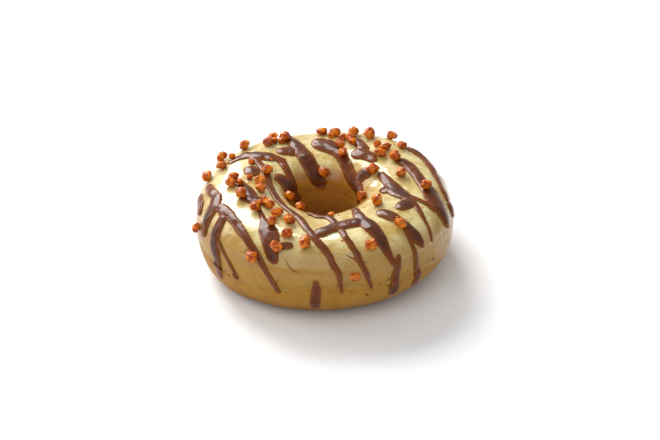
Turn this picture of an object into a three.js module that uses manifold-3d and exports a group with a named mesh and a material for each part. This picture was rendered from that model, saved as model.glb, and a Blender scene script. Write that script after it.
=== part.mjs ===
// A ring doughnut: a fried dough ring with a pale glaze, chocolate drizzled
// across it in slanting strokes, and crumbs of nut brittle.
// Millimetres, +Z up. It stands on z = 0 with its hole on the Z axis, front to -Y.

import * as THREE from "three";
import { ConvexGeometry } from "three/addons/geometries/ConvexGeometry.js";
import { mergeVertices } from "three/addons/utils/BufferGeometryUtils.js";
import Module from "manifold-3d";

// ---- the dough ring ----
const OUTER_RADIUS = 44;
const HOLE_RADIUS = 11.5;
const RING_HEIGHT = 28.8;
const WAIST_HEIGHT = 14.2;
const FOOT_SINK = 1; // how far the round belly is flattened where it rests
const CROWN_POWER = 2.7; // squareness of the section above the waist
const BELLY_POWER = 2.05; // and below it

const TUBE_CENTRE = (OUTER_RADIUS + HOLE_RADIUS) / 2;
const HALF_WIDTH = (OUTER_RADIUS - HOLE_RADIUS) / 2;
const CROWN_RISE = RING_HEIGHT - WAIST_HEIGHT;
const BELLY_DROP = WAIST_HEIGHT + FOOT_SINK;

// Where round its section the ring swells most, in degrees from the outer waist.
const SHOULDER_ANGLE = 20;
const BELLY_ANGLE = -50;
// Uneven proving: [ring angle, spread, extra swell of the shoulder, and of the belly],
// in degrees and millimetres.
const SWELLS = [
  [45, 30, 0.9, -2],
  [0, 25, -0.6, -0.5],
  [92, 20, -0.7, 0],
  [135, 28, 1, 0],
  [-168, 28, -0.8, 0],
  [-60, 22, 0.2, 1.4],
];

// ---- the coatings ----
const GAP = 0.3; // kept free between two touching pieces
const GLAZE_THICKNESS = 0.7;
const GLAZE_TAPER = 14; // degrees of section over which its edge thins out
const GLAZE_OUTER_EDGE = -1; // angles in the section: 0 outer waist, 90 crest
const GLAZE_INNER_EDGE = 164;
const GLAZE_EDGE_WAVE = 4;
const GLAZE_LIP = 0.2; // its thickness right at the edge
const EDGE_RUNOUT = 0.4; // share of the taper by which strokes ease down past the edge

const RING_STEPS = 64;
const SECTION_STEPS = 24;
const GLAZE_STEPS = 15;

const STROKE_STEP = 2.8;
const DOME_BASE = 0.4; // height of a stroke: a little, plus a share of its width
const DOME_SHARE = 0.17;
const DOME_MAX = 1.5;
const LONGEST_END = 0.4; // a round end takes at most this share of a stroke
const FIRST_STOP = 0.25; // share of a round end where its first stop after the tip lies
// A stroke's cross-section: [share of half its width, share of its height].
const DOME_SECTION = [
  [-1, 0.15],
  [-0.6, 0.8],
  [0, 1],
  [0.6, 0.8],
  [1, 0.15],
  [0.55, 0],
  [0, 0],
  [-0.55, 0],
];

// ---- the finishes ----
const FINISHES = {
  dough: { color: 0xb0813a, roughness: 0.75, metalness: 0 },
  glaze: { color: 0xd2c893, roughness: 0.25, metalness: 0 },
  chocolate: { color: 0x4c2a20, roughness: 0.3, metalness: 0 },
  brittle: { color: 0xbb5a12, roughness: 0.25, metalness: 0 },
};

const wasm = await Module();
wasm.setup();

const radians = THREE.MathUtils.degToRad;
const degrees = THREE.MathUtils.radToDeg;
const doughnut = new THREE.Group();
doughnut.name = "ring_doughnut";

// ---- the shape of the ring ----

/** Extra swell of the dough at two angles, on the outer shoulder and the outer belly. */
function swell(ring, tube) {
  let total = 0;
  const shoulder = 0.6 + 0.4 * Math.cos(tube - radians(SHOULDER_ANGLE));
  const belly = Math.max(0, Math.cos(tube - radians(BELLY_ANGLE))) ** 4;
  for (const [middle, spread, rise, bellyRise] of SWELLS) {
    const away = degrees(Math.abs(Math.atan2(
      Math.sin(ring - radians(middle)),
      Math.cos(ring - radians(middle)),
    )));
    total += (rise * shoulder + bellyRise * belly) * Math.exp(-((away / spread) ** 2));
  }
  return total;
}

/** A signed power, which squares off a circle's sine and cosine. */
function signedPower(value, power) {
  return Math.sign(value) * Math.abs(value) ** power;
}

/**
 * A point over the dough's skin. ring runs round the hole (0 front, +90 degrees
 * right), tube round the section (0 outer waist, 90 crest, 180 in the hole).
 */
function overSkin(ring, tube, lift) {
  const upper = Math.sin(tube) > 0;
  const power = upper ? CROWN_POWER : BELLY_POWER;
  const half = upper ? CROWN_RISE : BELLY_DROP;
  const across = signedPower(Math.cos(tube), 2 / power);
  const up = signedPower(Math.sin(tube), 2 / power);
  const normal = new THREE.Vector2(
    signedPower(across, power - 1) / HALF_WIDTH,
    signedPower(up, power - 1) / half,
  ).normalize();
  const raised = lift + swell(ring, tube);
  const radius = TUBE_CENTRE + across * HALF_WIDTH + normal.x * raised;
  const height = WAIST_HEIGHT + up * half + normal.y * raised;
  return new THREE.Vector3(
    radius * Math.sin(ring),
    -radius * Math.cos(ring),
    Math.max(height, 0),
  );
}

/** The ring and tube angles of the skin nearest to a point. */
function landOnSkin(point) {
  const ring = Math.atan2(point.x, -point.y);
  const across = (Math.hypot(point.x, point.y) - TUBE_CENTRE) / HALF_WIDTH;
  const above = point.z - WAIST_HEIGHT;
  const power = above > 0 ? CROWN_POWER : BELLY_POWER;
  const up = above / (above > 0 ? CROWN_RISE : BELLY_DROP);
  const tube = Math.atan2(
    signedPower(up, power / 2),
    signedPower(across, power / 2),
  );
  return { ring, tube };
}

/** A place on the crown, straight above a point of the plan. */
function onTop(x, y, width) {
  const across = (Math.hypot(x, y) - TUBE_CENTRE) / HALF_WIDTH;
  const held = THREE.MathUtils.clamp(across, -1, 1);
  const tube = Math.acos(signedPower(held, CROWN_POWER / 2));
  const at = overSkin(Math.atan2(x, -y), tube, 0);
  return { at, width };
}

/** A place on the flank or in the hole, from its two angles in degrees. */
function onSide(ringAngle, tubeAngle, width) {
  const at = overSkin(radians(ringAngle), radians(tubeAngle), 0);
  return { at, width };
}

/** Where the glaze stops at a ring angle: a soft wave about its mean edge. */
function glazeEdges(ring) {
  const wave = Math.sin(3 * ring + 0.6) + 0.6 * Math.sin(7 * ring + 2);
  return {
    outer: radians(GLAZE_OUTER_EDGE + GLAZE_EDGE_WAVE * wave),
    inner: radians(GLAZE_INNER_EDGE + 0.5 * GLAZE_EDGE_WAVE * wave),
  };
}

/** Height of the glazed skin above the dough, gap included, thin at its edges. */
function coatedLift(ring, tube) {
  const { outer, inner } = glazeEdges(ring);
  const inside = Math.min(tube - outer, inner - tube) / radians(GLAZE_TAPER);
  const share = THREE.MathUtils.smoothstep(inside, -EDGE_RUNOUT, 1);
  return share * (GAP + GLAZE_THICKNESS);
}

// ---- making closed solids ----

/** A closed solid from rows of points, each row a loop; caps, or joins the ends. */
function solidFromLoops(loops, joinsUp) {
  const around = loops[0].length;
  const positions = loops.flat().flatMap((p) => [p.x, p.y, p.z]);
  const index = [];
  const bands = joinsUp ? loops.length : loops.length - 1;
  for (let row = 0; row < bands; row += 1) {
    const next = (row + 1) % loops.length;
    for (let i = 0; i < around; i += 1) {
      const j = (i + 1) % around;
      const corner = [row * around + i, next * around + i, next * around + j, row * around + j];
      index.push(corner[0], corner[1], corner[2], corner[0], corner[2], corner[3]);
    }
  }
  const geometry = new THREE.BufferGeometry();
  geometry.setAttribute("position", new THREE.Float32BufferAttribute(positions, 3));
  geometry.setIndex(index);
  return geometry;
}

/** Drops triangles that have two corners in one place, as at a pointed end. */
function withoutSlivers(geometry) {
  const merged = mergeVertices(geometry, 1e-4);
  const old = merged.index.array;
  const index = [];
  for (let i = 0; i < old.length; i += 3) {
    const [a, b, c] = [old[i], old[i + 1], old[i + 2]];
    if (a !== b && b !== c && c !== a) {
      index.push(a, b, c);
    }
  }
  merged.setIndex(index);
  return merged;
}

/** The same solid in the form that can be joined to another. */
function toManifold(geometry) {
  return new wasm.Manifold(new wasm.Mesh({
    numProp: 3,
    vertProperties: new Float32Array(geometry.attributes.position.array),
    triVerts: new Uint32Array(geometry.index.array),
  }));
}

/** Several overlapping solids joined into one. */
function joined(geometries) {
  if (geometries.length === 1) {
    return geometries[0];
  }
  let body = toManifold(geometries[0]);
  for (const other of geometries.slice(1)) {
    body = body.add(toManifold(other));
  }
  const mesh = body.getMesh();
  const geometry = new THREE.BufferGeometry();
  geometry.setAttribute("position", new THREE.Float32BufferAttribute(mesh.vertProperties, 3));
  geometry.setIndex(Array.from(mesh.triVerts));
  return geometry;
}

/** Adds one named piece with a finish of its own. */
function addPiece(name, geometry, finish) {
  geometry.computeVertexNormals();
  const mesh = new THREE.Mesh(geometry, new THREE.MeshStandardMaterial(FINISHES[finish]));
  mesh.name = name;
  mesh.material.name = finish;
  doughnut.add(mesh);
}

// ---- dough and glaze ----

/** The fried ring, flat where it rests. */
function doughRing() {
  const loops = [];
  for (let step = 0; step < RING_STEPS; step += 1) {
    const ring = (step / RING_STEPS) * 2 * Math.PI;
    const loop = [];
    for (let i = 0; i < SECTION_STEPS; i += 1) {
      loop.push(overSkin(ring, (i / SECTION_STEPS) * 2 * Math.PI, 0));
    }
    loops.push(loop);
  }
  return solidFromLoops(loops, true);
}

/** The glaze: a thin shell over the crown, down to its two wavy edges. */
function glazeCoat() {
  const loops = [];
  for (let step = 0; step < RING_STEPS; step += 1) {
    const ring = (step / RING_STEPS) * 2 * Math.PI;
    const { outer, inner } = glazeEdges(ring);
    const outside = [];
    const underside = [];
    for (let i = 0; i <= GLAZE_STEPS; i += 1) {
      const tube = outer + (i / GLAZE_STEPS) * (inner - outer);
      outside.push(overSkin(ring, tube, Math.max(coatedLift(ring, tube), GAP + GLAZE_LIP)));
      underside.unshift(overSkin(ring, tube, GAP));
    }
    loops.push([...outside, ...underside]);
  }
  return solidFromLoops(loops, true);
}

// ---- chocolate ----

/** Height of a stroke's dome for its width. */
function domeHeight(width) {
  return Math.min(DOME_BASE + DOME_SHARE * width, DOME_MAX);
}

/** Stops along a smooth path, with rounded ends and changing width. */
function stopsAlong(places) {
  const points = places.map((place) => place.at);
  const curve = new THREE.CatmullRomCurve3(points, false, "centripetal");
  const length = curve.getLength();
  const most = length * LONGEST_END;
  const startRadius = Math.min(places[0].width / 2, most);
  const endRadius = Math.min(places.at(-1).width / 2, most);
  const straight = length - startRadius - endRadius;
  const steps = Math.max(Math.round(straight / STROKE_STEP), 1);
  const distances = [0, startRadius * FIRST_STOP];
  for (let i = 0; i <= steps; i += 1) {
    distances.push(startRadius + (i / steps) * straight);
  }
  distances.push(length - endRadius * FIRST_STOP, length);

  return distances.map((distance) => {
    const t = curve.getUtoTmapping(Math.min(distance / length, 1));
    const span = t * (places.length - 1);
    const from = Math.min(Math.floor(span), places.length - 2);
    const width = THREE.MathUtils.lerp(places[from].width, places[from + 1].width, span - from);
    const toStart = Math.min(distance / startRadius, 1);
    const toEnd = Math.min((length - distance) / endRadius, 1);
    const round = Math.sqrt(1 - (1 - toStart) ** 2) * Math.sqrt(1 - (1 - Math.max(toEnd, 0)) ** 2);
    return {
      at: curve.getPoint(t),
      direction: curve.getTangent(t),
      width: width * round,
      height: domeHeight(width) * round,
    };
  });
}

/** One stroke of chocolate: a low dome that follows the skin along its path. */
function stroke(places) {
  const loops = [];
  for (const stop of stopsAlong(places)) {
    const { ring, tube } = landOnSkin(stop.at);
    const outward = overSkin(ring, tube, 1).sub(overSkin(ring, tube, 0)).normalize();
    const sideways = new THREE.Vector3().crossVectors(outward, stop.direction).normalize();
    const loop = [];
    for (const [share, dome] of DOME_SECTION) {
      const spot = stop.at.clone().addScaledVector(sideways, (share * stop.width) / 2);
      const landed = landOnSkin(spot);
      const lift = coatedLift(landed.ring, landed.tube) + GAP + dome * stop.height;
      loop.push(overSkin(landed.ring, landed.tube, lift));
    }
    loops.push(loop);
  }
  return cappedSolid(loops);
}

/** A closed solid from loops whose first and last have shrunk to a point. */
function cappedSolid(loops) {
  return withoutSlivers(solidFromLoops(loops, false));
}

// Strokes of chocolate, each a list of places with the stroke's width there.
const DRIZZLE = {
  left: [
    [
      onSide(-94, 48, 1.6),
      onSide(-87, 55, 2.4),
      onTop(-36.6, -7.2, 3.2),
      onTop(-36.6, -10.6, 4.6),
      onSide(-71, 47, 4.8),
      onSide(-68, 34, 4.2),
      onSide(-66, 13, 3.8),
    ],
    [
      onTop(-35.8, -12, 3.4),
      onTop(-33.2, -16.2, 4.2),
      onTop(-29.6, -22.4, 3.2),
      onTop(-26.8, -27.8, 3),
      onTop(-24.2, -32.2, 2.8),
      onTop(-22.2, -35, 2.5),
      onSide(-26, 17, 2.1),
      onSide(-21, 0, 1.8),
      onSide(-19.5, -5, 1.4),
    ],
    [
      onTop(-32.6, -17.8, 3.6),
      onSide(-59, 43, 4.2),
      onSide(-57, 24, 4.8),
      onSide(-54, 6, 4.6),
      onSide(-53, -6, 3.6),
      onSide(-53, -22, 4.2),
    ],
    [onSide(-55.5, 28, 1.8), onSide(-50, 18, 1.7), onSide(-45, 8, 1.6), onSide(-40, -4, 1.4)],
  ],
  left_inner: [
    [
      onTop(-30.6, 1.6, 2),
      onTop(-27.8, -3, 3.2),
      onTop(-25.4, -8.4, 4.6),
      onTop(-24.2, -12, 3),
      onTop(-21.8, -18, 1.5),
      onTop(-20.2, -23.6, 2.4),
      onTop(-18.8, -28.6, 6.8),
      onTop(-17.6, -33.6, 6.2),
      onTop(-17, -37, 4.2),
      onSide(-22.4, 28, 4),
    ],
    [onTop(-28.6, -9.4, 3.6), onTop(-24, -11.4, 5), onTop(-20.8, -11.8, 4)],
    [onTop(-16.2, -35, 3), onTop(-13, -35.6, 2.6), onTop(-10, -36.2, 3.8)],
  ],
  middle: [
    [
      onTop(-27, 18.6, 1.6),
      onTop(-23.4, 13.4, 1.8),
      onTop(-20.4, 7.4, 2),
      onTop(-19.6, 0, 2.2),
      onTop(-17.4, -6, 2.4),
      onTop(-14.8, -12.4, 2.4),
      onTop(-12, -17, 2.6),
      onTop(-8.6, -22, 2.8),
      onTop(-6, -28, 2.8),
      onTop(-1.8, -35.4, 2.8),
      onTop(0.8, -38.8, 2.6),
      onTop(2.4, -41.2, 2.3),
      onSide(5.6, 23, 2.2),
      onSide(7, 2, 1.8),
      onSide(7.5, -3, 1.4),
    ],
    [
      onTop(-33.2, 14.2, 1.8),
      onTop(-31.2, 16, 2.6),
      onTop(-28.6, 18, 3.6),
      onTop(-26, 18.4, 3.8),
      onTop(-22.8, 17.4, 4.8),
      onTop(-19.8, 16.8, 5),
      onTop(-17.2, 16.2, 4),
    ],
    [
      onTop(-19, 17, 2.6),
      onTop(-16, 15.8, 2.4),
      onTop(-13.8, 11.4, 2.2),
      onTop(-12.2, 8.6, 2),
      onSide(-120, 154, 2),
      onSide(-125, 172, 1.6),
    ],
    [onTop(-17, 7, 3), onTop(-14.4, 5, 6), onSide(-113, 150, 4.6), onSide(-118, 166, 2.6)],
    [
      onSide(-20, 134, 2.6),
      onTop(-4.6, -18.6, 3.2),
      onTop(0.6, -20.6, 3),
      onTop(3.6, -26, 2.6),
      onTop(6.2, -32, 2.6),
      onTop(8.2, -35.8, 2.4),
      onTop(10.2, -38.6, 2.4),
      onSide(16.4, 29, 2.2),
      onSide(18.4, 14, 2),
      onSide(20, 0, 1.5),
    ],
    [
      onTop(-3.6, -32, 4),
      onTop(-0.8, -30, 5),
      onTop(3.4, -27.6, 5),
      onTop(8.2, -25.6, 5.4),
      onTop(13, -26, 5.6),
    ],
    [
      onTop(9.8, -14.6, 2),
      onTop(10.2, -18, 2.8),
      onTop(11.8, -23, 4.4),
      onTop(14.8, -27.8, 6),
      onTop(17.2, -31.6, 5.2),
      onTop(18.8, -34.4, 4),
      onTop(20.2, -36.4, 3),
      onSide(31.2, 19, 2),
    ],
    [
      onSide(34, 34, 2),
      onSide(32.6, 22, 2.6),
      onSide(31, 8, 3),
      onSide(31, -5, 4),
      onSide(32, -24, 4),
    ],
  ],
  droplet_left: [[onTop(-26.4, 9.6, 4.4), onTop(-25.2, 7, 5), onTop(-24, 4.6, 4.6)]],
  back: [
    [
      onTop(-14.6, 34.6, 2.6),
      onTop(-12.4, 29.6, 3.4),
      onTop(-9.8, 24, 4.4),
      onTop(-7.8, 20, 4.8),
      onTop(-5.8, 16.2, 5),
      onTop(-4, 13.8, 5),
      onSide(-170, 152, 4.4),
      onSide(-171, 163, 3),
    ],
    [onTop(-16.6, 20.6, 3.4), onTop(-12.8, 21.2, 4.2), onTop(-9.6, 22, 4.6)],
  ],
  inner_right: [
    [
      onTop(-4.2, 28, 5),
      onTop(-0.4, 25.6, 7),
      onTop(4, 21.6, 4.6),
      onTop(6.6, 16.6, 3),
      onTop(8.8, 12.2, 3),
      onTop(11, 8, 3.4),
      onSide(110, 150, 3.4),
      onSide(100, 162, 2.6),
    ],
    [onTop(11.4, 8.8, 3.4), onTop(14, 8.8, 5), onTop(16.2, 9.6, 4)],
  ],
  dollop_back: [
    [
      onTop(9.6, 19.8, 3.2),
      onTop(11.4, 19, 5.4),
      onTop(13.6, 17.8, 5),
      onTop(15.4, 16.2, 3.6),
      onTop(17.2, 13.4, 1.6),
    ],
    [onTop(10.4, 28.4, 2.6), onTop(12.2, 24, 3.2), onTop(13.8, 19.6, 3.4)],
  ],
  right_front: [
    [
      onTop(17.2, -19, 4.6),
      onTop(20.4, -21.4, 5.6),
      onTop(23.6, -23.4, 4),
      onTop(26, -25.4, 4),
      onTop(29, -28, 4.8),
      onSide(47.4, 27, 2.8),
    ],
    [
      onTop(24.4, -24.4, 1.8),
      onTop(26.6, -29, 1.8),
      onSide(42, 34, 1.8),
      onSide(42, 18, 2),
      onSide(42.4, 4, 2.6),
      onSide(44, -10, 3.8),
      onSide(43.4, -24, 3.4),
    ],
  ],
  right: [
    [
      onTop(19, 6.6, 1.6),
      onTop(22.2, -0.4, 3.6),
      onTop(24, -5.6, 6.2),
      onTop(27.2, -10, 4.4),
      onTop(30.2, -14.6, 2.2),
      onTop(32, -20, 1.6),
      onTop(33.6, -23.4, 1.5),
      onSide(53, 26, 1.3),
    ],
    [onTop(19, -2.6, 3.6), onTop(22.6, -4.6, 5.6)],
    [onTop(24, -18, 4), onTop(26.8, -14.8, 5.2), onTop(29.6, -11.4, 4.2)],
    [
      onTop(25, 13.8, 3.4),
      onTop(28.4, 10.8, 3.6),
      onTop(30.6, 7, 3.2),
      onTop(32.4, 2.2, 3),
      onTop(34.2, -1.4, 4.6),
      onTop(35.8, -6.4, 6.2),
      onTop(37.4, -10.8, 6.2),
      onSide(71, 42, 5.4),
      onSide(70, 30, 4.6),
      onSide(69, 21, 3.2),
    ],
    [onTop(27.6, -8.4, 1.6), onTop(31.6, -10.8, 1.6), onTop(34.6, -12.8, 3), onTop(37, -13.8, 3.4)],
  ],
  right_edge: [
    [
      onTop(28.8, 23.4, 2.8),
      onTop(31.2, 21.2, 3.6),
      onTop(33.6, 18.8, 2.8),
      onTop(36, 13, 2.2),
      onTop(38.4, 6.2, 1.8),
      onTop(40.2, 0.4, 2),
      onTop(41.4, -3.4, 1.6),
    ],
  ],
  right_drop: [[onSide(84, 36, 3.2), onSide(82, 14, 4)]],
  left_edge: [
    [
      onSide(-91, 32, 1.6),
      onSide(-86, 33, 2.6),
      onSide(-81, 31, 3.4),
      onSide(-77, 28, 2.2),
    ],
  ],
  front_drip: [[onSide(-4, 13, 1.8), onSide(-4, 2, 3), onSide(-4.4, -14, 4), onSide(-4.6, -36, 3.4)]],
};

// ---- brittle crumbs ----

// Each crumb by its place on the plan and its size; side ones by their two angles.
const TOP_CRUMBS = [
  [-1.2, 33.6, 3.6],
  [3.4, 32, 4],
  [9.8, 32, 4.2],
  [8.2, 27.4, 3.6],
  [5.4, 23.8, 3.4],
  [15.2, 29.6, 4.8],
  [22.8, 30.4, 4.2],
  [26.6, 22.2, 3.6],
  [6.3, 18.8, 4],
  [21.2, 20.6, 3.6],
  [19.2, 16.6, 3.8],
  [23.5, 14.6, 4.2],
  [17.7, 7.8, 4.2],
  [0.5, 14.4, 4],
  [26, 4.6, 4.2],
  [33.4, -3.2, 4],
  [23.8, -27.2, 4],
  [17.6, -14.2, 4.4],
  [14.5, -35.8, 4.2],
  [14, -2.2, 3.8],
  [-9.4, -10.8, 3.8],
  [-13.8, -2.2, 3.8],
  [-19, -15.8, 4.2],
  [-24, -18, 4.2],
  [-15.8, -20.4, 3.8],
  [-11.7, -25, 4],
  [-16.8, -26.4, 3.6],
  [-12.4, -31.8, 3.8],
  [-14.8, -36.4, 4.2],
  [-6.4, -35.6, 4.4],
  [-34.8, 20.6, 4.2],
  [-35.2, 11.6, 3.8],
  [-27.8, 25, 4],
  [-19.8, 25.6, 4],
  [-18, 31.6, 3.4],
  [-14.4, 28.6, 3.8],
  [-20.2, 6.8, 3.8],
  [-22.6, -0.2, 3.6],
  [-22, -5.2, 3.8],
  [-31.4, 2.6, 3.4],
  [-31.8, -2.2, 4],
  [-28.4, -9.8, 4.2],
];
const SIDE_CRUMBS = [
  [-33, 30, 4.2],
  [-73, 15, 3.5],
  [-101, 46, 4.2],
];
const CRUMB_POINTS = 18;
const CRUMB_FLATNESS = 0.8;
const CRUMB_TURN = 2.4; // radians from one corner to the next, which spreads them evenly
const CRUMB_REACH = 0.86; // how far the nearest corner is out, as a share of the furthest

/** A small repeatable sequence of numbers from 0 to 1. */
function sequence(seed) {
  let state = seed;
  return () => {
    state = (state * 16807) % 2147483647;
    return state / 2147483647;
  };
}

/** How high the coatings reach under a crumb, strokes of chocolate included. */
function clearLift(place, radius, stops) {
  const { ring, tube } = landOnSkin(place);
  let lift = coatedLift(ring, tube);
  for (const stop of stops) {
    const square = place.distanceToSquared(stop.at) - (STROKE_STEP / 2) ** 2;
    if (Math.sqrt(Math.max(square, 0)) < radius + stop.width / 2) {
      lift = Math.max(lift, GAP + GLAZE_THICKNESS + GAP + stop.height);
    }
  }
  return lift + GAP;
}

/** One faceted crumb of brittle, resting just over what lies under it. */
function crumb(place, size, seed, stops) {
  const random = sequence(seed);
  const points = [];
  for (let i = 0; i < CRUMB_POINTS; i += 1) {
    const height = 1 - (2 * (i + 0.5)) / CRUMB_POINTS;
    const turn = i * CRUMB_TURN + random();
    const flat = Math.sqrt(1 - height * height);
    const reach = CRUMB_REACH + (1 - CRUMB_REACH) * random();
    const corner = new THREE.Vector3(flat * Math.cos(turn), flat * Math.sin(turn), height);
    points.push(corner.multiplyScalar(reach));
  }
  const geometry = mergeVertices(new ConvexGeometry(points).deleteAttribute("normal"), 1e-5);
  const half = size / 2;
  geometry.scale(half * (1 + 0.25 * random()), half * (0.88 + 0.16 * random()), half * CRUMB_FLATNESS);
  geometry.rotateZ(random() * Math.PI);

  const { ring, tube } = landOnSkin(place);
  const outward = overSkin(ring, tube, 1).sub(overSkin(ring, tube, 0)).normalize();
  const upright = new THREE.Quaternion().setFromUnitVectors(new THREE.Vector3(0, 0, 1), outward);
  geometry.applyQuaternion(upright);
  const lift = clearLift(place, half, stops) + half * CRUMB_FLATNESS;
  const centre = overSkin(ring, tube, lift);
  geometry.translate(centre.x, centre.y, centre.z);
  return geometry;
}

// ---- putting it together ----

addPiece("dough_ring", doughRing(), "dough");
addPiece("glaze_coat", glazeCoat(), "glaze");

const allStops = [];
for (const [name, strokes] of Object.entries(DRIZZLE)) {
  addPiece(`chocolate_${name}`, joined(strokes.map(stroke)), "chocolate");
  allStops.push(...strokes.flatMap(stopsAlong));
}

const crumbs = [
  ...TOP_CRUMBS.map(([x, y, size]) => onTop(x, y, size)),
  ...SIDE_CRUMBS.map(([ring, tube, size]) => onSide(ring, tube, size)),
];
crumbs.forEach(({ at, width }, i) => {
  addPiece(`crumb_${i + 1}`, crumb(at, width, 101 + 37 * i, allStops), "brittle");
});

export default doughnut;
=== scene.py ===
# %% [markdown]
# A glazed ring doughnut. The imported model is the frame: the dough, the glaze, the
# strokes and the crumbs are copies of its nodes and take their sizes and places
# from it. Only the small things near the end have places of their own.

# %% Load the frame
import math
import random

import bmesh
import bpy
from mathutils import Matrix, Vector, noise
from mathutils.bvhtree import BVHTree


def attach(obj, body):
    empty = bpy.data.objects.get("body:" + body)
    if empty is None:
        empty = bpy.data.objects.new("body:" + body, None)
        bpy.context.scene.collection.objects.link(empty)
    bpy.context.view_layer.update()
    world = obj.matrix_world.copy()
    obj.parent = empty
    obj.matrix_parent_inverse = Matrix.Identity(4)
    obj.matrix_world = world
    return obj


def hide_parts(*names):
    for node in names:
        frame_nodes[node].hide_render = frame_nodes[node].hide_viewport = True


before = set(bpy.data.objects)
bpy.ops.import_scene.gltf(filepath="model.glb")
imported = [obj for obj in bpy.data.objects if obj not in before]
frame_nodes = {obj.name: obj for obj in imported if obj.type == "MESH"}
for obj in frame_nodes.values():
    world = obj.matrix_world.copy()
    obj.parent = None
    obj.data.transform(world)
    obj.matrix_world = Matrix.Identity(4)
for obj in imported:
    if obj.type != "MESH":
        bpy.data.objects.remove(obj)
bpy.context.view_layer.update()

MM = 0.001
stroke_nodes = [name for name in frame_nodes if name.startswith("chocolate_")]
crumb_nodes = [name for name in frame_nodes if name.startswith("crumb_")]
print("strokes:", len(stroke_nodes), "crumbs:", len(crumb_nodes))

# %% [markdown]
# The ring is looked at from the front, 33 degrees above the table. A long lens
# a good way off keeps its shape true. The camera is an object like any other:
# its turn is worked out from the direction it has to look along.

# %% Camera
LOOK_DOWN = math.radians(33)
CAMERA_DISTANCE = 0.70
LENS_LENGTH = 110.9
aim_point = Vector((1.62, 0.0, 14.4)) * MM

scene = bpy.context.scene
camera = bpy.data.objects.new("camera", bpy.data.cameras.new("camera"))
camera.data.lens = LENS_LENGTH
camera.data.sensor_width = 36
camera.data.clip_start = 0.05
towards_camera = Vector((0, -math.cos(LOOK_DOWN), math.sin(LOOK_DOWN)))
camera.location = aim_point + towards_camera * CAMERA_DISTANCE
camera.rotation_euler = (-towards_camera).to_track_quat("-Z", "Y").to_euler()
scene.collection.objects.link(camera)
scene.camera = camera
print("camera at", tuple(round(c, 3) for c in camera.location))

# %% [markdown]
# The ring lies on white paper. A big plain face is all the table needs, and a
# rough white finish with hardly any shine keeps it from mirroring the ring.

# %% Table
TABLE_HALF_WIDTH = 6
table_shape = bmesh.new()
bmesh.ops.create_grid(table_shape, x_segments=1, y_segments=1, size=TABLE_HALF_WIDTH)
table_mesh = bpy.data.meshes.new("table_top")
table_shape.to_mesh(table_mesh)
table_shape.free()
table_top = bpy.data.objects.new("table_top", table_mesh)
scene.collection.objects.link(table_top)

paper = bpy.data.materials.new("white_paper")
paper.use_nodes = True
paper_shader = paper.node_tree.nodes["Principled BSDF"]
paper_shader.inputs["Base Color"].default_value = (0.93, 0.93, 0.93, 1)
paper_shader.inputs["Roughness"].default_value = 0.9
paper_shader.inputs["Specular IOR Level"].default_value = 0.1
table_mesh.materials.append(paper)
print("table:", 2 * TABLE_HALF_WIDTH, "m wide")

# %% [markdown]
# One big soft lamp behind the ring and to the left makes the broad white shine
# on the glaze, and throws the shadow forwards and to the right. A large lamp has
# a soft-edged shadow, which is why it isn't a point. Two weak lamps, at the left
# and in front, and a white room all round fill the shade.

# %% Lamps and room
ROOM_STRENGTH = 0.47
RING_MIDDLE = Vector((0, 0, 0.015))


def soft_lamp(name, place, size, power):
    """A square lamp at a place in metres, turned towards the ring."""
    lamp = bpy.data.objects.new(name, bpy.data.lights.new(name, "AREA"))
    lamp.data.size = size
    lamp.data.energy = power
    lamp.location = place
    towards_ring = RING_MIDDLE - lamp.location
    lamp.rotation_euler = towards_ring.to_track_quat("-Z", "Y").to_euler()
    scene.collection.objects.link(lamp)


soft_lamp("window_lamp", place=Vector((-0.46, 0.87, 0.8)), size=0.75, power=21)
soft_lamp("side_lamp", place=Vector((-1.1, 0.4, 0.6)), size=0.6, power=4)
soft_lamp("front_fill", place=Vector((-0.5, -1.3, 1.5)), size=2.0, power=15)

room = bpy.data.worlds.new("white_room")
room.use_nodes = True
room.node_tree.nodes["Background"].inputs["Color"].default_value = (1, 1, 1, 1)
room.node_tree.nodes["Background"].inputs["Strength"].default_value = ROOM_STRENGTH
scene.world = room
scene.view_settings.view_transform = "Standard"

# %% [markdown]
# Every finish is made of the same few nodes, so a few helpers keep the cells
# short: they add a node, start a finish with its Principled shader and its
# Object coordinates, blend two colours, do a sum, and fade a value. Object
# coordinates are real places in metres here, so a noise scale of 100 gives
# patches about 10 mm wide.

# %% Helpers for finishes
def add_node(tree, kind, links=None, **settings):
    """Adds a node; settings are its own, links are values or sockets for its inputs."""
    new_node = tree.nodes.new(kind)
    for setting, value in settings.items():
        setattr(new_node, setting, value)
    for socket, value in (links or {}).items():
        if isinstance(value, bpy.types.NodeSocket):
            tree.links.new(value, new_node.inputs[socket])
        else:
            new_node.inputs[socket].default_value = value
    return new_node


def new_finish(name):
    """A material with its tree, its shader and the socket of Object coordinates."""
    finish = bpy.data.materials.new(name)
    finish.use_nodes = True
    tree = finish.node_tree
    shader = tree.nodes["Principled BSDF"]
    places = add_node(tree, "ShaderNodeTexCoord").outputs["Object"]
    return finish, tree, shader, places


def blend(tree, mask, first, second):
    """A colour that goes from first to second as the mask goes from 0 to 1."""
    mixer = add_node(tree, "ShaderNodeMix", data_type="RGBA")
    for socket, value in ((0, mask), (6, first), (7, second)):
        if isinstance(value, bpy.types.NodeSocket):
            tree.links.new(value, mixer.inputs[socket])
        else:
            mixer.inputs[socket].default_value = value
    return mixer.outputs[2]


def calc(tree, operation, first, second=0.0, clamp=False):
    """One sum on two values."""
    return add_node(
        tree, "ShaderNodeMath", {0: first, 1: second}, operation=operation, use_clamp=clamp
    ).outputs[0]


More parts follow.
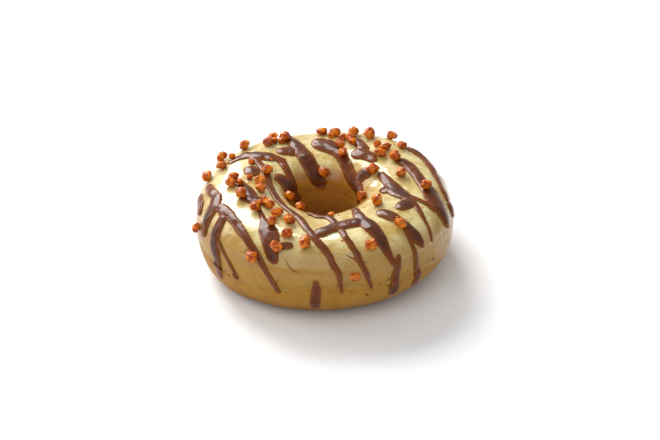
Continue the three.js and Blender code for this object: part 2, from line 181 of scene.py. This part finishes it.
def fade(tree, value, start, end, low=0.0, high=1.0):
    """Smoothly from low to high as value goes from start to end."""
    return add_node(
        tree,
        "ShaderNodeMapRange",
        {"Value": value, "From Min": start, "From Max": end, "To Min": low, "To Max": high},
        interpolation_type="SMOOTHSTEP",
    ).outputs["Result"]


# %% [markdown]
# Sugar, dough and chocolate are all blotchy: their colour and gloss drift over a
# few millimetres. That could be a noise node in every finish, but one shader
# node group, placed in each with its own patch size and contrast, is built once
# and reads better. It gives a mask: 0 outside the patches, 1 inside.

# %% Node group: blotches
def make_group(name, inputs, outputs):
    """An empty node group with named sockets, and its two end nodes."""
    group = bpy.data.node_groups.new(name, "ShaderNodeTree")
    for socket, kind in inputs.items():
        group.interface.new_socket(socket, in_out="INPUT", socket_type=kind)
    for socket in outputs:
        group.interface.new_socket(socket, in_out="OUTPUT", socket_type="NodeSocketFloat")
    return group, group.nodes.new("NodeGroupInput"), group.nodes.new("NodeGroupOutput")


blotches, blotch_in, blotch_out = make_group(
    "blotches",
    {"Place": "NodeSocketVector", "Scale": "NodeSocketFloat", "From": "NodeSocketFloat",
     "To": "NodeSocketFloat"},
    ["Mask"],
)
blotch_noise = add_node(
    blotches,
    "ShaderNodeTexNoise",
    {"Vector": blotch_in.outputs["Place"], "Scale": blotch_in.outputs["Scale"],
     "Detail": 3.0, "Roughness": 0.55},
)
blotch_edge = add_node(
    blotches,
    "ShaderNodeMapRange",
    {"Value": blotch_noise.outputs["Fac"], "From Min": blotch_in.outputs["From"],
     "From Max": blotch_in.outputs["To"]},
    interpolation_type="SMOOTHSTEP",
)
blotches.links.new(blotch_edge.outputs["Result"], blotch_out.inputs["Mask"])
print("node group:", blotches.name)

# %% [markdown]
# A noise crosses its middle value along thin winding lines. The second group
# finds them: the nearer the noise is to the middle, the brighter the line. They
# serve as wrinkles in the dough and as flow marks in the glaze.

# %% Node group: winding lines
winding, winding_in, winding_out = make_group(
    "winding_lines",
    {"Place": "NodeSocketVector", "Scale": "NodeSocketFloat", "Width": "NodeSocketFloat"},
    ["Line"],
)
winding_noise = add_node(
    winding,
    "ShaderNodeTexNoise",
    {"Vector": winding_in.outputs["Place"], "Scale": winding_in.outputs["Scale"],
     "Detail": 2.0, "Distortion": 0.6},
)
off_middle = calc(winding, "SUBTRACT", winding_noise.outputs["Fac"], 0.5)
off_middle = calc(winding, "ABSOLUTE", off_middle)
off_middle = calc(winding, "DIVIDE", off_middle, winding_in.outputs["Width"])
line = fade(winding, off_middle, 0.0, 1.0, 1.0, 0.0)
winding.links.new(line, winding_out.inputs["Line"])
print("node group:", winding.name)

# %% [markdown]
# Two last helpers for finishes: one puts a group into a finish, and the other
# turns a height into relief with a Bump node, which bends the light but moves no
# point.

# %% Helpers for groups and relief
def place_group(tree, group, **values):
    """Puts a node group into a finish and gives its only output."""
    holder = add_node(tree, "ShaderNodeGroup", node_tree=group)
    for socket, value in values.items():
        if isinstance(value, bpy.types.NodeSocket):
            tree.links.new(value, holder.inputs[socket])
        else:
            holder.inputs[socket].default_value = value
    return holder.outputs[0]


def set_bump(tree, shader, height, depth):
    """Relief from a height between 0 and 1, depth in metres."""
    bump = add_node(tree, "ShaderNodeBump", {"Height": height, "Distance": depth, "Strength": 1.0})
    tree.links.new(bump.outputs["Normal"], shader.inputs["Normal"])


# %% [markdown]
# Fried dough is golden where the fat browned it and darker inside the hole. It
# is matt with a slight greasy shine, finely wrinkled, and speckled with tiny
# pits. Where a finish depends on height or on the distance from the hole, the
# Object coordinates are split into their parts.

# %% Finish: fried dough
GOLDEN = (0.38, 0.19, 0.026, 1)
BROWNED = (0.26, 0.105, 0.012, 1)
HOLE_GOLD = (0.4, 0.165, 0.02, 1)
SPECK_BROWN = (0.07, 0.022, 0.006, 1)


def axis_distance(tree, places):
    """Distance from the ring's axis, and the height, as sockets in metres."""
    parts = add_node(tree, "ShaderNodeSeparateXYZ", {0: places})
    across = add_node(tree, "ShaderNodeCombineXYZ", {0: parts.outputs[0], 1: parts.outputs[1]})
    length = add_node(tree, "ShaderNodeVectorMath", {0: across.outputs[0]}, operation="LENGTH")
    return length.outputs["Value"], parts.outputs[2]


dough_finish, tree, shader, places = new_finish("fried_dough")
reach, height = axis_distance(tree, places)
browning = place_group(tree, blotches, Place=places, Scale=110.0, From=0.35, To=0.75)
near_foot = fade(tree, height, 9 * MM, 1 * MM)
browning = calc(tree, "ADD", calc(tree, "MULTIPLY", browning, 0.45), near_foot, clamp=True)
in_hole = fade(tree, reach, 20 * MM, 13 * MM)
wrinkles = place_group(tree, winding, Place=places, Scale=260.0, Width=0.05)
pits = place_group(tree, blotches, Place=places, Scale=1500.0, From=0.62, To=0.74)
color = blend(tree, browning, GOLDEN, BROWNED)
color = blend(tree, in_hole, color, HOLE_GOLD)
color = blend(tree, calc(tree, "MULTIPLY", wrinkles, 0.25), color, BROWNED)
color = blend(tree, calc(tree, "MULTIPLY", pits, 0.4), color, SPECK_BROWN)
tree.links.new(color, shader.inputs["Base Color"])
tree.links.new(fade(tree, browning, 0, 1, 0.5, 0.62), shader.inputs["Roughness"])
relief = calc(tree, "ADD", wrinkles, pits)
set_bump(tree, shader, calc(tree, "MULTIPLY", relief, -0.5), 0.12 * MM)
shader.inputs["Specular IOR Level"].default_value = 0.15
shader.inputs["Subsurface Weight"].default_value = 0.15
shader.inputs["Subsurface Radius"].default_value = (2 * MM, 1 * MM, 0.4 * MM)
shader.inputs["Subsurface Scale"].default_value = 1.0

# %% [markdown]
# The glaze is a thin coat of boiled sugar and fat: cream on the crown, where it
# is thick, and more and more golden down the flank and into the hole, where the
# dough shows through. The darker gold down the flank is partly that and partly
# painted shade below the lit crown. It is wet-looking, so it gets a clear coat
# over a slightly rough base, and a little light scatters inside it.

# %% Finish: pale glaze
CREAM = (0.52, 0.36, 0.11, 1)
PALE_CREAM = (0.68, 0.56, 0.27, 1)
HONEY_AND_SHADE = (0.37, 0.195, 0.036, 1)
STRAW = (0.42, 0.26, 0.045, 1)
LINE_BROWN = (0.32, 0.14, 0.015, 1)

glaze_finish, tree, shader, places = new_finish("pale_glaze")
reach, height = axis_distance(tree, places)
patches = place_group(tree, blotches, Place=places, Scale=110.0, From=0.38, To=0.62)
thin_patches = place_group(tree, blotches, Place=places, Scale=170.0, From=0.52, To=0.75)
flow_lines = place_group(tree, winding, Place=places, Scale=120.0, Width=0.018)
# Below the crown, and more below the crease, the colour goes to a darker gold: partly thinner
# glaze over the dough, partly painted shade on the flank.
low = calc(tree, "MULTIPLY", fade(tree, height, 28.4 * MM, 24.5 * MM), 0.75)
under_crease = calc(tree, "MULTIPLY", fade(tree, height, 22.8 * MM, 21.8 * MM), 0.25)
low = calc(tree, "ADD", low, under_crease)
in_hole = fade(tree, reach, 16 * MM, 12.5 * MM)
color = blend(tree, patches, CREAM, PALE_CREAM)
color = blend(tree, calc(tree, "MULTIPLY", thin_patches, 0.6), color, STRAW)
color = blend(tree, low, color, HONEY_AND_SHADE)
color = blend(tree, fade(tree, height, 22 * MM, 15 * MM, 0, 0.9), color, GOLDEN)
color = blend(tree, in_hole, color, HOLE_GOLD)
color = blend(tree, calc(tree, "MULTIPLY", flow_lines, 0.35), color, LINE_BROWN)
tree.links.new(color, shader.inputs["Base Color"])
tree.links.new(fade(tree, patches, 0, 1, 0.22, 0.34), shader.inputs["Roughness"])
ripples = place_group(tree, blotches, Place=places, Scale=480.0, From=0.3, To=0.7)
relief = calc(tree, "ADD", patches, thin_patches)
relief = calc(tree, "ADD", relief, calc(tree, "MULTIPLY", ripples, 0.9))
set_bump(tree, shader, relief, 0.1 * MM)
tree.links.new(fade(tree, height, 24 * MM, 16 * MM, 0.7, 0.1), shader.inputs["Coat Weight"])
shader.inputs["Specular IOR Level"].default_value = 0.15
shader.inputs["Coat Roughness"].default_value = 0.06
shader.inputs["Subsurface Weight"].default_value = 0.25
shader.inputs["Subsurface Radius"].default_value = (2.5 * MM, 1.5 * MM, 0.5 * MM)
shader.inputs["Subsurface Scale"].default_value = 1.0

# %% [markdown]
# Set chocolate is dark and glossy where it lies thick. Where it is thin the
# glaze shines through and makes it reddish, so each stroke carries its own
# thickness as an attribute, which is filled in below. Faint clouds, where the
# fat has come out, are lighter and duller.

# %% Finish: chocolate
DARK_CHOCOLATE = (0.066, 0.017, 0.006, 1)
WARM_CHOCOLATE = (0.118, 0.029, 0.007, 1)
THIN_CHOCOLATE = (0.2, 0.049, 0.004, 1)
CLOUDY_CHOCOLATE = (0.13, 0.045, 0.024, 1)

chocolate_finish, tree, shader, places = new_finish("set_chocolate")
thickness = add_node(tree, "ShaderNodeAttribute", attribute_name="thickness").outputs["Fac"]
warm = place_group(tree, blotches, Place=places, Scale=150.0, From=0.36, To=0.66)
clouds = place_group(tree, blotches, Place=places, Scale=420.0, From=0.52, To=0.72)
color = blend(tree, warm, DARK_CHOCOLATE, WARM_CHOCOLATE)
color = blend(tree, calc(tree, "MULTIPLY", clouds, 0.35), color, CLOUDY_CHOCOLATE)
color = blend(tree, fade(tree, thickness, 0.2, 1.15), THIN_CHOCOLATE, color)
tree.links.new(color, shader.inputs["Base Color"])
tree.links.new(fade(tree, clouds, 0, 1, 0.3, 0.42), shader.inputs["Roughness"])
set_bump(tree, shader, clouds, 0.08 * MM)
shader.inputs["Specular IOR Level"].default_value = 0.1
shader.inputs["Coat Weight"].default_value = 0.28
shader.inputs["Coat Roughness"].default_value = 0.1

# %% [markdown]
# Nut brittle is caramel boiled to amber: light goes a little way in and comes
# out orange. Its depth of colour changes once or twice across a crumb, as a
# slow noise does: the deep patches are partly the brittle's own deeper tone and
# partly painted shade. A fine noise adds light orange spots, partly bits of nut
# inside and partly painted glints.

# %% Finish: amber brittle
AMBER = (0.68, 0.18, 0.002, 1)
DEEP_AMBER_AND_SHADE = (0.3, 0.036, 0.001, 1)
NUT_AND_GLINT = (0.74, 0.31, 0.025, 1)

brittle_finish, tree, shader, places = new_finish("amber_brittle")
# Deep patches: partly the brittle's own deeper tone, partly painted shade.
depth = place_group(tree, blotches, Place=places, Scale=420.0, From=0.38, To=0.62)
# Light orange spots: partly bits of nut, partly painted glints.
nut_and_glint_spots = place_group(tree, blotches, Place=places, Scale=900.0, From=0.56, To=0.68)
color = blend(tree, depth, AMBER, DEEP_AMBER_AND_SHADE)
color = blend(tree, calc(tree, "MULTIPLY", nut_and_glint_spots, 0.55), color, NUT_AND_GLINT)
tree.links.new(color, shader.inputs["Base Color"])
tree.links.new(fade(tree, nut_and_glint_spots, 0, 1, 0.14, 0.3), shader.inputs["Roughness"])
set_bump(tree, shader, nut_and_glint_spots, 0.18 * MM)
shader.inputs["Specular IOR Level"].default_value = 0.1
shader.inputs["Coat Weight"].default_value = 0.35
shader.inputs["Coat Roughness"].default_value = 0.05
shader.inputs["Subsurface Weight"].default_value = 0.25
shader.inputs["Subsurface Radius"].default_value = (2.5 * MM, 0.8 * MM, 0.1 * MM)
shader.inputs["Subsurface Scale"].default_value = 1.0

# %% [markdown]
# A piece starts as a copy of its node in the frame, with the loose triangles
# joined up. Its modifiers are then turned into plain mesh, so that the next
# steps can push single points about. The helpers copy a node, make a named
# piece, use up its modifiers, and round it off by subdivision. The last one
# gives smooth noise at a place, for anything that has to be a little uneven.

# %% Helpers for pieces
def copy_of(node_name):
    """A bmesh copy of a node of the frame, its doubled corners merged."""
    shape = bmesh.new()
    shape.from_mesh(frame_nodes[node_name].data)
    bmesh.ops.remove_doubles(shape, verts=shape.verts, dist=0.01 * MM)
    return shape


def new_piece(name, shape, finish):
    """A shown piece that rides on the ring, from a bmesh that it uses up."""
    mesh = bpy.data.meshes.new(name)
    shape.to_mesh(mesh)
    shape.free()
    mesh.materials.append(finish)
    piece = bpy.data.objects.new(name, mesh)
    scene.collection.objects.link(piece)
    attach(piece, "root")
    return piece


def use_up_modifiers(piece):
    """Makes the shape that the modifiers give the piece's own mesh."""
    graph = bpy.context.evaluated_depsgraph_get()
    shaped = bpy.data.meshes.new_from_object(piece.evaluated_get(graph))
    piece.modifiers.clear()
    piece.data = shaped
    shaped.shade_smooth()


def round_off(piece, levels):
    """Subdivides a piece and makes the rounded shape its own mesh."""
    rounding = piece.modifiers.new("rounding", "SUBSURF")
    rounding.levels = levels
    rounding.render_levels = levels
    use_up_modifiers(piece)


def waver(place, size, seed=0.0):
    """A smooth random number between about -1 and 1 that changes over size metres."""
    return noise.noise(place / size + Vector((seed, 0.37 * seed, -0.7 * seed)))


print("helpers: copy_of, new_piece, use_up_modifiers, round_off, waver")

# %% [markdown]
# The dough ring is subdivided until it is smooth, then swollen and dented by
# broad waves and small ones, as a proved ring is. A sculpting brush would do it
# too, but waver's noise comes out the same every time. It is lifted a little to
# close most of the gap that the frame keeps under the glaze, while points on the
# foot stay flat on the table.

# %% Piece: dough ring
TUBE_CENTRE = 27.75 * MM
WAIST_HEIGHT = 14.2 * MM
FOOT_HEIGHT = 0.2 * MM
DOUGH_LIFT = 0.2 * MM
BROAD_WAVE = 0.12 * MM
BROAD_WAVE_SIZE = 9 * MM
SMALL_WAVE = 0.06 * MM
SMALL_WAVE_SIZE = 2.5 * MM


def out_of_tube(place):
    """The direction straight out of the ring's tube at a place."""
    flat = Vector((place.x, place.y, 0)).normalized() * TUBE_CENTRE
    return (place - flat - Vector((0, 0, WAIST_HEIGHT))).normalized()


def smooth_ring(name, node_name, finish):
    """A node's copy turned to quads, subdivided twice and made plain mesh."""
    shape = copy_of(node_name)
    bmesh.ops.join_triangles(
        shape, faces=shape.faces, angle_face_threshold=math.pi, angle_shape_threshold=math.pi
    )
    piece = new_piece(name, shape, finish)
    round_off(piece, 2)
    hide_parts(node_name)
    return piece


dough = smooth_ring("dough", "dough_ring", dough_finish)
for corner in dough.data.vertices:
    place = corner.co.copy()
    if place.z < FOOT_HEIGHT:
        continue
    lift = DOUGH_LIFT + BROAD_WAVE * waver(place, BROAD_WAVE_SIZE)
    lift += SMALL_WAVE * waver(place, SMALL_WAVE_SIZE)
    place += out_of_tube(place) * lift
    place.z = max(place.z, 0)
    corner.co = place
print("dough faces:", len(dough.data.polygons))

# %% [markdown]
# The glaze ran before it set, so its coat is thick in some places and thin in
# others, with a faint crease round the shoulder where a second wave of it
# stopped. Its outer side is only ever pushed inwards, which keeps it within the
# frame's size, and never as far as the dough. Its underside is left alone. The
# dips are in millimetres.

# %% Piece: glaze
CREASE_HEIGHT = 22.5 * MM
CREASE_SWAY = 0.5 * MM
CREASE_SWAY_SIZE = 12 * MM
CREASE_HALF_WIDTH = 0.3 * MM
CREASE_DIP = 0.14
MEAN_DIP = 0.14
BROAD_DIP = 0.24
BROAD_DIP_SIZE = 8 * MM
SMALL_DIP = 0.07
SMALL_DIP_SIZE = 3 * MM
DEEPEST_DIP = 0.55


def step_down(value, top, bottom):
    """0 above top, 1 below bottom, smooth between."""
    share = min(max((top - value) / (top - bottom), 0.0), 1.0)
    return share * share * (3 - 2 * share)


glaze = smooth_ring("glaze", "glaze_coat", glaze_finish)
normals = [corner.normal.copy() for corner in glaze.data.vertices]
for corner, normal in zip(glaze.data.vertices, normals):
    place = corner.co.copy()
    outward = out_of_tube(place)
    if normal.dot(outward) < 0:
        continue
    dip = MEAN_DIP + BROAD_DIP * waver(place, BROAD_DIP_SIZE, 3.0)
    dip += SMALL_DIP * waver(place, SMALL_DIP_SIZE, 5.0)
    crease = CREASE_HEIGHT + CREASE_SWAY * waver(place, CREASE_SWAY_SIZE, 8.0)
    if place.xy.length > TUBE_CENTRE:
        top, bottom = crease + CREASE_HALF_WIDTH, crease - CREASE_HALF_WIDTH
        dip += CREASE_DIP * step_down(place.z, top, bottom)
    corner.co = place - outward * min(max(dip, 0.0), DEEPEST_DIP) * MM
print("glaze faces:", len(glaze.data.polygons))

# %% [markdown]
# Chocolate, threads and crumbs all lie on the skin. A BVH tree is a quick way to
# ask for the nearest point of a surface, so one is made of dough and glaze
# together. It is made again once the chocolate lies on it.

# %% The skin to lie on
def surface_of(pieces):
    """One search tree of the outer surfaces of some pieces."""
    corners = []
    faces = []
    for piece in pieces:
        first = len(corners)
        corners.extend(corner.co.copy() for corner in piece.data.vertices)
        faces.extend([first + i for i in face.vertices] for face in piece.data.polygons)
    return BVHTree.FromPolygons(corners, faces)


skin = surface_of([dough, glaze])
print("skin to lie on: dough and glaze")

# %% [markdown]
# Melted chocolate has no edges. Each stroke's copy is remeshed in fine voxels
# and smoothed, which melts its facets away; a subdivision surface would keep
# them as soft dents. Then it spreads a little, draws in at its low tails, and
# its outline is made to wander. Last it is laid on the skin: the frame's gap is
# closed, its rim sinks in and its height is pressed down. The depth of chocolate
# under each point, measured before that, is kept for the finish.
#
# One thing to know: noise_vector, unlike the noise in waver, takes its seed from
# the clock unless noise.seed_set is called, which isn't done here. So the wander
# differs from run to run by a few tenths of a millimetre, and a crumb next to a
# stroke can settle up to about two millimetres away.

# %% Helpers for strokes
STROKE_VOXEL = 0.3 * MM
FRONT_SPREAD = 0.1 * MM
BACK_SPREAD = 0.75 * MM
SPREAD_STARTS_Y = -28 * MM
SPREAD_FULL_Y = 8 * MM
TAIL_TAPER = 0.4 * MM
TAIL_TOP = 24 * MM
TAIL_FOOT = 11 * MM
TAILS_RIGHT_END = 16 * MM
KEPT_HEIGHT = 0.65
STROKE_WANDER = 0.35 * MM
WANDER_SIZE = 3.5 * MM
FRAME_GAP = 0.3 * MM
STROKE_SINK = 0.05 * MM
STROKE_SMOOTHING = 3
RAY_CLEARANCE = 0.03 * MM


def melt(piece, voxel, rounds):
    """Remeshes and smooths a piece until no facet is left."""
    remesh = piece.modifiers.new("voxels", "REMESH")
    remesh.mode = "VOXEL"
    remesh.voxel_size = voxel
    smoothing = piece.modifiers.new("smoothing", "SMOOTH")
    smoothing.factor = 0.5
    smoothing.iterations = rounds
    use_up_modifiers(piece)


def spread(piece, skin, tail_taper):
    """Moves each point sideways along the skin: out at the back, in at the low tails."""
    sides = [corner.normal.copy() for corner in piece.data.vertices]
    for corner, side in zip(piece.data.vertices, sides):
        place = corner.co.copy()
        upright = skin.find_nearest(place)[1]
        sideways = side - upright * side.dot(upright)
        wander = noise.noise_vector(place / WANDER_SIZE) * STROKE_WANDER
        back = 1 - step_down(place.y, SPREAD_FULL_Y, SPREAD_STARTS_Y)
        amount = FRONT_SPREAD + (BACK_SPREAD - FRONT_SPREAD) * back
        if place.x < TAILS_RIGHT_END:
            amount -= tail_taper * step_down(place.z, TAIL_TOP, TAIL_FOOT)
        corner.co = place + sideways * amount + wander


def lay_on_skin(piece, skin, sink):
    """Closes the frame's gap under a piece and sinks its foot into the skin."""
    for corner in piece.data.vertices:
        nearest, normal, _, _ = skin.find_nearest(corner.co)
        height = (corner.co - nearest).dot(normal)
        wanted = (height - FRAME_GAP) * KEPT_HEIGHT - sink
        corner.co += normal * (wanted - height)


def keep_thickness(piece):
    """Measures straight in through a piece and keeps the depth in mm at each point."""
    inside = surface_of([piece])
    depths = []
    for corner in piece.data.vertices:
        down = -out_of_tube(corner.co)
        depth = inside.ray_cast(corner.co + down * RAY_CLEARANCE, down)[3]
        depths.append(depth / MM if depth else 0.0)
    layer = piece.data.attributes.new("thickness", "FLOAT", "POINT")
    layer.data.foreach_set("value", depths)


print("helpers: melt, spread, lay_on_skin, keep_thickness")

# %% [markdown]
# Every stroke of the frame now goes through the same steps. Only the long middle
# stroke has low tails in front that need drawing in.

# %% Pieces: chocolate strokes
strokes = []
for node_name in stroke_nodes:
    stroke = new_piece(
        node_name.replace("chocolate", "stroke"), copy_of(node_name), chocolate_finish
    )
    melt(stroke, STROKE_VOXEL, STROKE_SMOOTHING)
    spread(stroke, skin, TAIL_TAPER if node_name == "chocolate_middle" else 0)
    keep_thickness(stroke)
    lay_on_skin(stroke, skin, STROKE_SINK)
    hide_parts(node_name)
    strokes.append(stroke)
print("stroke faces:", sum(len(stroke.data.polygons) for stroke in strokes))
skin = surface_of([dough, glaze] + strokes)

# %% [markdown]
# A crumb of brittle is a broken lump: flat breaks with edges worn round. A hull
# drawn round a few points gives the breaks, and fine voxels round the edges
# off. The frame's crumbs are such hulls already, so their copies are only
# rounded, and swollen a little to make up for what the rounding takes off. Small
# knobs and hollows of smooth noise then break the surface up, where a bump in
# the finish would leave the outline bare. Each crumb last sinks into the coat
# that held it.

# %% Helpers for crumbs
CRUMB_VOXEL = 0.2 * MM
CRUMB_SMOOTHING = 2
CRUMB_SWELL = 1.16
KNOB_DEPTH = 0.32 * MM
GRIT_DEPTH = 0.1 * MM
KNOB_SIZE = 1.3 * MM
GRIT_SIZE = 0.6 * MM
STANDING_SHARE = 0.9


def middle_of(piece):
    """The mean place of a piece's points."""
    corners = piece.data.vertices
    return sum((corner.co for corner in corners), Vector()) / len(corners)


def swell_piece(piece, share):
    """Makes a piece larger about its own middle."""
    middle = middle_of(piece)
    grow = Matrix.Translation(middle) @ Matrix.Scale(share, 4) @ Matrix.Translation(-middle)
    piece.data.transform(grow)


def roughen(piece):
    """Breaks a crumb's surface up with small knobs and hollows."""
    sides = [corner.normal.copy() for corner in piece.data.vertices]
    for corner, side in zip(piece.data.vertices, sides):
        place = corner.co.copy()
        knobs = KNOB_DEPTH * waver(place, KNOB_SIZE, 2.0)
        corner.co = place + side * (knobs + GRIT_DEPTH * waver(place, GRIT_SIZE, 6.0))


def settle(piece, skin, share):
    """Sinks a crumb until its middle stands a share of its half height over the skin."""
    middle = middle_of(piece)
    nearest, normal, _, _ = skin.find_nearest(middle)
    half = max((corner.co - middle).dot(normal) for corner in piece.data.vertices)
    height = (middle - nearest).dot(normal)
    piece.data.transform(Matrix.Translation(normal * (half * share - height)))


print("helpers: middle_of, swell_piece, roughen, settle")

# %% [markdown]
# Each crumb of the frame goes through these steps in turn, and its piece then
# stands for its node.

# %% Pieces: brittle crumbs
crumbs = []
for node_name in crumb_nodes:
    crumb = new_piece(
        node_name.replace("crumb", "brittle"), copy_of(node_name), brittle_finish
    )
    melt(crumb, CRUMB_VOXEL, CRUMB_SMOOTHING)
    swell_piece(crumb, CRUMB_SWELL)
    roughen(crumb)
    settle(crumb, skin, STANDING_SHARE)
    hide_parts(node_name)
    crumbs.append(crumb)
print("crumb faces:", sum(len(crumb.data.polygons) for crumb in crumbs))

# %% [markdown]
# What is left is small: threads, lumps, specks and a flake. Their places are two
# angles in degrees: round the ring from the front towards the right, and round
# its tube from the outer waist up to the crest. A ray from outside finds the
# skin there. A thread is a round section set down at each stop and bridged to
# the next, which lets its ends be thinner, as a plain curve with a bevel would
# need extra steps to do.

# %% Helpers for small things on the skin
RAY_START_MM = 30
THREAD_END_SHARE = 0.45


def on_skin(ring, tube):
    """The place on the skin at two angles in degrees, and the skin's normal there."""
    ring = math.radians(ring)
    tube = math.radians(tube)
    outward = Vector((math.sin(ring), -math.cos(ring), 0))
    centre = outward * TUBE_CENTRE + Vector((0, 0, WAIST_HEIGHT))
    away = outward * math.cos(tube) + Vector((0, 0, math.sin(tube)))
    place, normal, _, _ = skin.ray_cast(centre + away * RAY_START_MM * MM, -away)
    return place, normal


def thread_shape(stops, width, sink):
    """A thin rod through stops on the skin, thinner at both ends."""
    shape = bmesh.new()
    places = [on_skin(ring, tube) for ring, tube in stops]
    last = len(places) - 1
    section = None
    for step, (place, normal) in enumerate(places):
        before = places[max(step - 1, 0)][0]
        after = places[min(step + 1, last)][0]
        turn = (after - before).to_track_quat("Z", "Y").to_matrix().to_4x4()
        share = THREAD_END_SHARE if step in (0, last) else 1.0
        spot = Matrix.Translation(place - normal * sink) @ turn @ Matrix.Scale(share, 4)
        ring = bmesh.ops.create_circle(
            shape, cap_ends=step in (0, last), segments=8, radius=width / 2, matrix=spot
        )
        edges = {edge for corner in ring["verts"] for edge in corner.link_edges}
        edges = [edge for edge in edges if all(corner in ring["verts"] for corner in edge.verts)]
        if section:
            bmesh.ops.bridge_loops(shape, edges=section + edges)
        section = edges
    bmesh.ops.recalc_face_normals(shape, faces=shape.faces)
    return shape


print("helpers: on_skin, thread_shape")

# %% [markdown]
# Chocolate falls in thin threads between the strokes. Six of them lie on the
# glaze, half a millimetre wide, and each has only the stops that its bend needs.

# %% Pieces: chocolate threads
THREAD_WIDTH = 0.55 * MM
THREAD_SINK = 0.1 * MM
THREADS = [
    [(-19, 39), (-17, 34), (-15.5, 29), (-13, 25), (-10, 26)],
    [(8.5, 47), (11, 43), (14, 38), (16.5, 36), (19, 33)],
    [(-52.5, 51), (-50, 49), (-48, 47), (-45, 47)],
    [(-38, 29), (-38.6, 33), (-37, 37), (-34, 40)],
    [(-19.5, 27), (-20, 18), (-21, 8), (-22, 0)],
    [(54, 15), (53.6, 9), (53, 4)],
]
for count, stops in enumerate(THREADS, 1):
    thread = new_piece(
        f"thread_{count}",
        thread_shape(stops, THREAD_WIDTH, THREAD_SINK),
        chocolate_finish,
    )
    round_off(thread, 2)
print("threads:", len(THREADS))

# %% [markdown]
# Smaller lumps fill the heaps between the large crumbs. A lump is a cube made a
# little oblong, turned by chance from a fixed seed, and bevelled until only the
# middles of its faces stay flat. All of them are one piece, as none moves alone.

# %% Pieces: small lumps
SMALL_LUMPS = [
    (-151, 76, 3.2), (-147, 70, 2.8), (-156, 72, 2.8), (168, 84, 3), (163, 84, 3.2), (159, 92, 3),
    (176, 78, 2.8), (142, 84, 3), (126, 85, 2.6), (135, 88, 3), (-86, 86, 2.8), (-118, 60, 2.6),
    (-62, 106, 2.6), (-58, 98, 2.4), (6, 121, 2.4), (-36, 84, 3), (-116, 88, 2.8), (-95, 97, 2.4),
]
LUMP_CUBE_SHARE = 0.85
LUMP_BEVEL_SHARE = 0.2
LUMP_STANDING_SHARE = 0.3

rng = random.Random(11)
lumps = bmesh.new()
for ring, tube, width in SMALL_LUMPS:
    place, normal = on_skin(ring, tube)
    turn = Vector([rng.uniform(-1, 1) for _ in range(3)]).to_track_quat("Z", "Y").to_matrix()
    oblong = Matrix.Diagonal((1, rng.uniform(0.7, 0.95), rng.uniform(0.65, 0.9), 1))
    raised = place + normal * LUMP_STANDING_SHARE * width * MM
    spot = Matrix.Translation(raised) @ turn.to_4x4() @ oblong
    made = bmesh.ops.create_cube(lumps, size=LUMP_CUBE_SHARE * width * MM, matrix=spot)
    edges = list({edge for corner in made["verts"] for edge in corner.link_edges})
    bmesh.ops.bevel(
        lumps, geom=edges, offset=LUMP_BEVEL_SHARE * width * MM, segments=3, profile=0.5,
        affect="EDGES", material=-1,
    )
lumps_piece = new_piece("small_lumps", lumps, brittle_finish)
round_off(lumps_piece, 1)
print("small lumps:", len(SMALL_LUMPS))

# %% [markdown]
# Dust and splinters lie between the crumbs, each a small flattened ball that is
# half sunk. The amber ones are strewn by chance from a fixed seed. The dark ones
# are crumbs of chocolate, and stand where they are listed.

# %% Pieces: specks
STREWN_SPECKS = 22
SPECK_FLATNESS = 0.45
DARK_SPECKS = [
    (28, 9, 0.9), (24, 4, 0.8), (25, 2, 0.8), (27.5, 0, 0.7), (18.5, -8, 1.2),
    (-46, -6, 0.9), (-48, -2, 0.6), (37, 12, 0.6), (5, 8, 0.5), (22, 14, 0.6),
]


def flat_balls(listed):
    """One shape of half-sunk flattened balls at (ring, tube, width in mm)."""
    shape = bmesh.new()
    for ring, tube, width in listed:
        place, normal = on_skin(ring, tube)
        turn = normal.to_track_quat("Z", "Y").to_matrix().to_4x4()
        spin = Matrix.Rotation(rng.uniform(0, 6.28), 4, "Z")
        squash = Matrix.Diagonal((1, rng.uniform(0.6, 1), SPECK_FLATNESS, 1))
        spot = Matrix.Translation(place) @ turn @ spin @ squash
        bmesh.ops.create_icosphere(shape, subdivisions=2, radius=width / 2 * MM, matrix=spot)
    return shape


rng = random.Random(7)
strewn = [
    (rng.uniform(-180, 180), rng.gauss(85, 30), rng.uniform(0.4, 1.1))
    for _ in range(STREWN_SPECKS)
]
specks = new_piece("specks", flat_balls(strewn), brittle_finish)
specks.data.shade_smooth()
dark_specks = new_piece("dark_specks", flat_balls(DARK_SPECKS), chocolate_finish)
dark_specks.data.shade_smooth()
print("specks:", len(strewn) + len(DARK_SPECKS))

# %% [markdown]
# One flat flake of brittle lies in front, sunk so deep that only its face shows.
# It is a cube pressed flat, with every edge bevelled, laid along the skin.

# %% Piece: sunk flake
FLAKE_PLACE = (13, 20)
FLAKE_WIDTH = 3.2 * MM
FLAKE_DEPTH_SHARE = 0.85
FLAKE_HEIGHT_SHARE = 0.4
FLAKE_BEVEL_SHARE = 0.14

place, normal = on_skin(*FLAKE_PLACE)
turn = normal.to_track_quat("Z", "Y").to_matrix().to_4x4()
flat = Matrix.Diagonal((1, FLAKE_DEPTH_SHARE, FLAKE_HEIGHT_SHARE, 1))
flake_shape = bmesh.new()
spot = Matrix.Translation(place) @ turn @ flat
bmesh.ops.create_cube(flake_shape, size=FLAKE_WIDTH, matrix=spot)
bmesh.ops.bevel(
    flake_shape, geom=flake_shape.edges, offset=FLAKE_BEVEL_SHARE * FLAKE_WIDTH, segments=3,
    profile=0.5, affect="EDGES", material=-1,
)
flake = new_piece("sunk_flake", flake_shape, brittle_finish)
round_off(flake, 2)
print("flake:", round(FLAKE_WIDTH / MM, 1), "mm wide")
